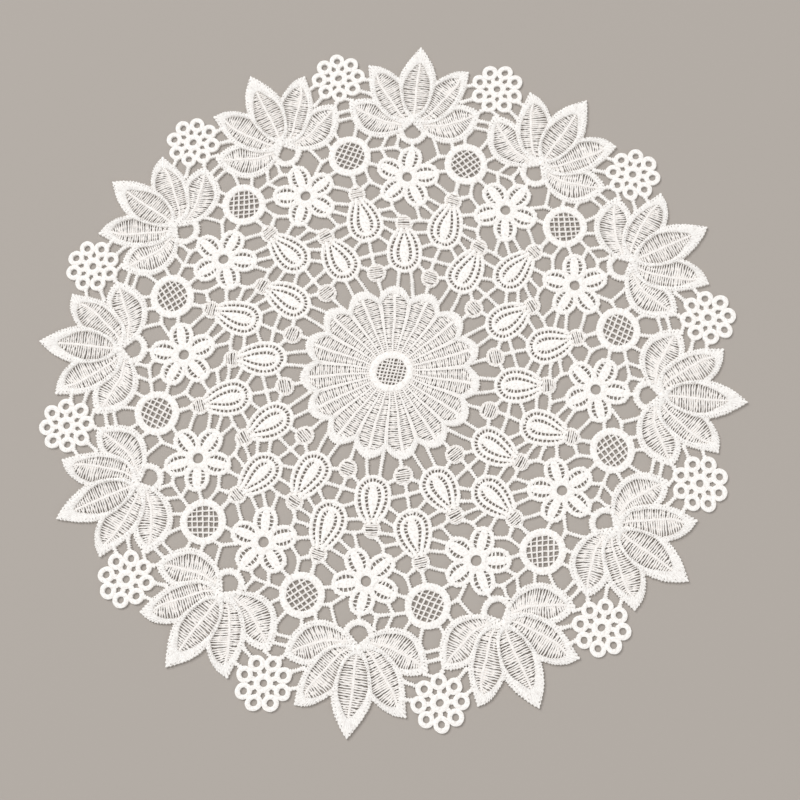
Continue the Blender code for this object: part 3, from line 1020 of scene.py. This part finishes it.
def understitch(name, context):
    """Understitching of cotton run to and fro in two directions, flat and dull.

    It shows as a close grid at the foot of the borders, in bump and in painted shade between its
    rows."""
    material, tree, shader = started(name, RAYON)
    place = add(tree, "TexCoord", {}, out="Object")
    rows = []
    for way in ("X", "Y"):
        settings = {"bands_direction": way, "Scale": WAVE / (UNDER_PITCH * MM), "Distortion": 0.4}
        rows.append(add(tree, "TexWave", settings, {"Vector": place}, "Fac"))
    grid = add(tree, "Math", {"operation": "MAXIMUM"}, {0: rows[0], 1: rows[1]})
    # The grid paints shade between the rows.
    threaded(tree, shader, context, grid, (0.5, 0.08))
    return material


def painted_board(name, context):
    """Board painted with matt emulsion by roller: even, with a faint soft stipple."""
    values = {"Base Color": context.scene.doily_colours.floor, "Roughness": 0.85}
    material, tree, shader = started(name, values)
    place = add(tree, "TexCoord", {}, out="Object")
    settings = {"Scale": 1 / (STIPPLE * MM), "Detail": 2.0}
    stipple = add(tree, "TexNoise", settings, {"Vector": place}, "Fac")
    settings = {"Strength": 0.2, "Distance": 0.05 * MM}
    normal = add(tree, "Bump", settings, {"Height": stipple})
    tree.links.new(normal, shader.inputs["Normal"])
    return material


FINISHES = {
    SATIN: satin_stitch,
    PRICKED: satin_stitch,
    DRAWN: drawn_thread,
    UNDER: understitch,
    BOARD: painted_board,
}


def finish(name, context):
    """A named finish, made once."""
    return bpy.data.materials.get(name) or FINISHES[name](name, context)


# ---- panel and operators


def measure(name, description, default, low, high):
    """A size in the panel, from millimetres."""
    return bpy.props.FloatProperty(
        name=name,
        description=description,
        default=default * MM,
        min=low * MM,
        max=high * MM,
        precision=5,
        unit="LENGTH",
    )


def swatch(name, description, hex_colour):
    """A colour in the panel, from an sRGB hex value."""
    return bpy.props.FloatVectorProperty(
        name=name,
        description=description,
        default=linear(hex_colour),
        size=4,
        min=0.0,
        max=1.0,
        subtype="COLOR",
    )


class DoilySizes(bpy.types.PropertyGroup):
    """Sizes of the cloth and its stitches."""

    bar_width: measure("Bar width", "Width of the bars between the motifs", 1.45, 0.8, 2.2)
    relief: measure("Relief", "Height of the highest border", TABLE_RELIEF, 1.0, 3.0)
    stitch: measure("Stitch", "Width of one pass of thread in the satin borders", 0.52, 0.3, 0.8)
    tooth: measure("Tooth", "How far every other stitch stands out past the rest", 0.7, 0.0, 1.2)
    lotus_pitch: measure("Lotus pitch", "Spacing of the bundles in a lotus petal", 1.0, 0.6, 2.0)
    daisy_pitch: measure("Daisy pitch", "Spacing of the bundles in a daisy petal", 0.9, 0.6, 2.0)
    cover: bpy.props.FloatProperty(
        name="Cover",
        description="Widest part of a bundle of drawn threads, as a share of the pitch",
        default=0.9,
        min=0.3,
        max=1.1,
        subtype="FACTOR",
    )
    stray: measure("Stray", "How far a drawn thread wanders from its place", 0.07, 0.0, 0.3)
    slip: measure("Slip", "How far the middle of the cloth has slipped sideways", 1.2, -3.0, 3.0)
    unevenness: measure("Unevenness", "How far the cloth lies out of true", 0.35, 0.0, 1.5)

    def mm(self, name):
        """A size in millimetres."""
        return getattr(self, name) / MM


class DoilyColours(bpy.types.PropertyGroup):
    """Colours of the thread, of the painted shade on it and in its needle holes, and of the floor.
    """

    thread: swatch("Thread", "Colour of the thread where it stands proud", "FDFAF6")
    # Painted shade between the ridges, plies and rows of the thread, which also mottles its tone.
    shadow: swatch("Shadow", "Colour of the thread between its ridges", "D6CDC7")
    # Painted shade in the needle holes of the lotus borders.
    hole_shade: swatch("Needle holes", "Colour in the needle holes of the lotus borders", "9C958F")
    floor: swatch("Floor", "Colour of the floor the cloth lies on", "A8A19A")


class DOILY_OT_bars(bpy.types.Operator):
    """Works the straight bars of the ground"""

    bl_idname = "doily.bars"
    bl_label = "Bars"

    def execute(self, context):
        Work(context, bar_borders).piece("lace_bars", SATIN)
        return {"FINISHED"}


class DOILY_OT_drops(bpy.types.Operator):
    """Works the drops, with their rings, leaves, rungs and hatched caps"""

    bl_idname = "doily.drops"
    bl_label = "Drops"

    def execute(self, context):
        Work(context, drop_borders).piece("lace_drops", SATIN)
        rungs = Work(context)
        for x, y, bearing in DROPS:
            for rows, near, far, pitch, width in DROP_RUNGS:
                line = flowing(both_sides(rows))
                line = paced(line, line, pitch)[0][1:-1]
                threads = (placed(beside(line, d), x, y, bearing) for d in (near, far))
                rungs.draw(*threads, width, RUNG, RUNG_HEIGHT, swell=RUNG_SWELL)
            middle = (x, y) + polar(bearing, DROP_CAP)
            rungs.hatch(middle, DROP_CAP_RADIUS, bearing + 90.0)
        rungs.piece("lace_drop_threads", DRAWN)
        return {"FINISHED"}


class DOILY_OT_flowers(bpy.types.Operator):
    """Works the five-petalled flowers and the rungs beside their leaves"""

    bl_idname = "doily.flowers"
    bl_label = "Flowers"

    def execute(self, context):
        work = Work(context, flower_borders)
        start, end, pitch, near, far, width = FLOWER_RUNGS
        along = np.arange(start, end, pitch)
        for bearing in bearings(FLOWER_BEARING, FLOWER_PETALS):
            for side in (-1.0, 1.0):
                rows = ([(a, d * side) for a in along] for d in (near, far))
                threads = (placed(row, *FLOWER, bearing) for row in rows)
                work.draw(*threads, width, RUNG, RUNG_HEIGHT, swell=RUNG_SWELL)
        work.piece("lace_flowers", SATIN)
        return {"FINISHED"}


class DOILY_OT_nets(bpy.types.Operator):
    """Works the net discs"""

    bl_idname = "doily.nets"
    bl_label = "Net discs"

    def execute(self, context):
        Work(context, net_borders).piece("lace_nets", SATIN)
        threads = Work(context)
        threads.net(NET, NET_RING[0] - NET_SHORT, NET_THREAD, NET_WAYS)
        threads.piece("lace_net_threads", DRAWN)
        return {"FINISHED"}


class DOILY_OT_balls(bpy.types.Operator):
    """Works the hatched balls"""

    bl_idname = "doily.balls"
    bl_label = "Balls"

    def execute(self, context):
        work = Work(context, ball_borders)
        for x, y, radius, bearing in BALLS:
            work.hatch((x, y), radius, bearing)
        work.piece("lace_balls", DRAWN)
        return {"FINISHED"}


class DOILY_OT_clusters(bpy.types.Operator):
    """Works the clusters of rings on the edge"""

    bl_idname = "doily.clusters"
    bl_label = "Ring clusters"

    def execute(self, context):
        Work(context, cluster_borders).piece("lace_clusters", SATIN)
        return {"FINISHED"}


class DOILY_OT_lotus(bpy.types.Operator):
    """Works the borders, ribs and drawn fillings of the lotus flowers on the edge"""

    bl_idname = "doily.lotus"
    bl_label = "Lotus flowers"

    def execute(self, context):
        Work(context, lotus_borders).piece("lace_lotus_borders", PRICKED)
        work = Work(context)
        pitch = work.sizes.mm("lotus_pitch")
        width, proud, step = LOTUS_RIB
        for rows, high, ribs in lotus_fills():
            for side in (1.0, -1.0):
                threads = drawn(rows, pitch, side)
                work.draw(*threads, pitch * work.sizes.cover, FROM_RIB, high)
            for side in ribs:
                line = flowing(rows[:, :2]) * (side, 1.0)
                work.lay([cord(line, width, high + proud, HUNG, teeth=RIB_TOOTH, step=step)])
        work.piece("lace_lotus_threads", DRAWN)
        return {"FINISHED"}


class DOILY_OT_eyes(bpy.types.Operator):
    """Works the half rings that close the eyes under the lotus flowers"""

    bl_idname = "doily.eyes"
    bl_label = "Eyes"

    def execute(self, context):
        Work(context, eye_borders).piece("lace_eyes", SATIN)
        return {"FINISHED"}


class DOILY_OT_daisy(bpy.types.Operator):
    """Works the daisy: its rim and middle, and its ribs and drawn fillings petal by petal"""

    bl_idname = "doily.daisy"
    bl_label = "Daisy"

    def execute(self, context):
        Work(context, daisy_borders).piece("lace_daisy_rim", SATIN, 1)
        petal = Work(context)
        pitch = petal.sizes.mm("daisy_pitch")
        window = DAISY_TIP - DAISY_RIM
        radii = np.arange(DAISY_INSIDE, window, pitch)
        opening = np.sqrt(np.clip((window - radii) / (DAISY_TIP - DAISY_NOTCH), 0.0, 1.0))
        starts = [polar(DAISY_BEARING, r) for r in radii]
        for side in (-1.0, 1.0):
            reach = np.minimum(1.0, opening + DAISY_REACH) * side * DAISY_TURN / 2
            ends = [polar(DAISY_BEARING + turn, r) for turn, r in zip(reach, radii)]
            width = pitch * petal.sizes.cover
            petal.draw(starts, ends, width, BETWEEN_RIBS, DAISY_FILL_HEIGHT)
        for part, end, width in DAISY_RIBS:
            bearing = DAISY_BEARING + part * DAISY_TURN
            line = [polar(bearing, r) for r in (DAISY_INSIDE - DAISY_RIB_TUCK, end)]
            widths = (DAISY_RIB_START, width)
            petal.lay([cord(line, widths, DAISY_RIB_HEIGHT, HUNG, teeth=RIB_TOOTH)])
        petal.piece("lace_daisy_threads", DRAWN, DAISY_PETALS)
        middle = Work(context)
        middle.net((0.0, 0.0), *DAISY_NET, DAISY_NET_WAYS)
        middle.piece("lace_daisy_net", DRAWN, 1)
        return {"FINISHED"}


class DOILY_OT_ground(bpy.types.Operator):
    bl_idname = "doily.ground"
    bl_label = "Ground"

    def execute(self, context):
        sizes = context.scene.doily_sizes
        rim, middle = daisy_borders(sizes)
        centre = thickened("lace_ground_middle", *joined((rim, middle)))
        repeat = [border for motif in MOTIFS for border in motif(sizes)]
        ground = thickened("lace_ground", *joined(repeat))
        turned(ground, REPEATS)
        centre.select_set(True)
        bpy.ops.object.join()
        finished(ground, UNDER, context)
        fills = [band(rows, GROUND, side) for rows, *_ in lotus_fills() for side in (1.0, -1.0)]
        daisy = abs(plan_turn([Vector(p) for p in rim.outer])) * MM**2
        area = plan_area(*joined(repeat + fills)) * REPEATS + daisy
        pieces = [o for o in context.scene.objects if o.name.startswith("lace_")]
        return {"FINISHED"}


class DOILY_OT_stage(bpy.types.Operator):
    """Lays the floor, and sets up the camera and the soft studio light"""

    bl_idname = "doily.stage"
    bl_label = "Stage"

    def execute(self, context):
        bpy.ops.mesh.primitive_plane_add(size=FLOOR_SIDE, location=(0.0, 0.0, 0.0))
        floor = context.object
        floor.name = "floor"
        floor.data.materials.append(finish(BOARD, context))
        for name, place, side, power in SOFTBOXES:
            bpy.ops.object.light_add(type="AREA", location=place)
            light = context.object
            light.name = name
            light.data.size = side
            light.data.energy = power
            light.rotation_euler = Vector(place).to_track_quat("Z", "Y").to_euler()
        world = bpy.data.worlds.new("studio")
        world.use_nodes = True
        sky = world.node_tree.nodes["Background"].inputs
        sky["Color"].default_value = linear("FFFFFF")
        sky["Strength"].default_value = ROOM_LIGHT
        context.scene.world = world
        context.scene.view_settings.view_transform = "Standard"
        a, e = math.radians(CAMERA_AZIMUTH), math.radians(CAMERA_ELEVATION)
        back = Vector((math.cos(e) * math.sin(a), -math.cos(e) * math.cos(a), math.sin(e)))
        right = Vector((0, 0, 1)).cross(back).normalized()
        turn = Matrix((right, back.cross(right), back)).transposed()
        turn = turn @ Matrix.Rotation(math.radians(CAMERA_ROLL), 3, "Z")
        bpy.ops.object.camera_add()
        camera = context.object
        camera.name = "camera"
        camera.data.lens = CAMERA_LENS
        place = (Vector((*CAMERA_TARGET, 0.0)) + back * CAMERA_DISTANCE) * MM
        camera.matrix_world = Matrix.Translation(place) @ turn.to_4x4()
        context.scene.camera = camera
        return {"FINISHED"}


STEPS = (
    DOILY_OT_bars,
    DOILY_OT_drops,
    DOILY_OT_flowers,
    DOILY_OT_nets,
    DOILY_OT_balls,
    DOILY_OT_clusters,
    DOILY_OT_lotus,
    DOILY_OT_eyes,
    DOILY_OT_daisy,
    DOILY_OT_ground,
    DOILY_OT_stage,
)


class DOILY_PT_panel(bpy.types.Panel):
    """Sizes, colours and steps of the doily"""

    bl_idname = "DOILY_PT_panel"
    bl_label = "Lace Doily"
    bl_space_type = "VIEW_3D"
    bl_region_type = "UI"
    bl_category = "Doily"

    def draw(self, context):
        column = self.layout.column()
        for group in (context.scene.doily_sizes, context.scene.doily_colours):
            for name in group.__annotations__:
                column.prop(group, name)
        for step in STEPS:
            column.operator(step.bl_idname)


CLASSES = (DoilySizes, DoilyColours, *STEPS, DOILY_PT_panel)


def register():
    for cls in CLASSES:
        bpy.utils.register_class(cls)
    bpy.types.Scene.doily_sizes = bpy.props.PointerProperty(type=DoilySizes)
    bpy.types.Scene.doily_colours = bpy.props.PointerProperty(type=DoilyColours)


def unregister():
    del bpy.types.Scene.doily_sizes
    del bpy.types.Scene.doily_colours
    for cls in reversed(CLASSES):
        bpy.utils.unregister_class(cls)


def main():
    """Works the whole doily."""
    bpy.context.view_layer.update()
    register()
    for step in STEPS:
        getattr(bpy.ops.doily, step.bl_idname.split(".")[1])()


if __name__ == "__main__":
    main()
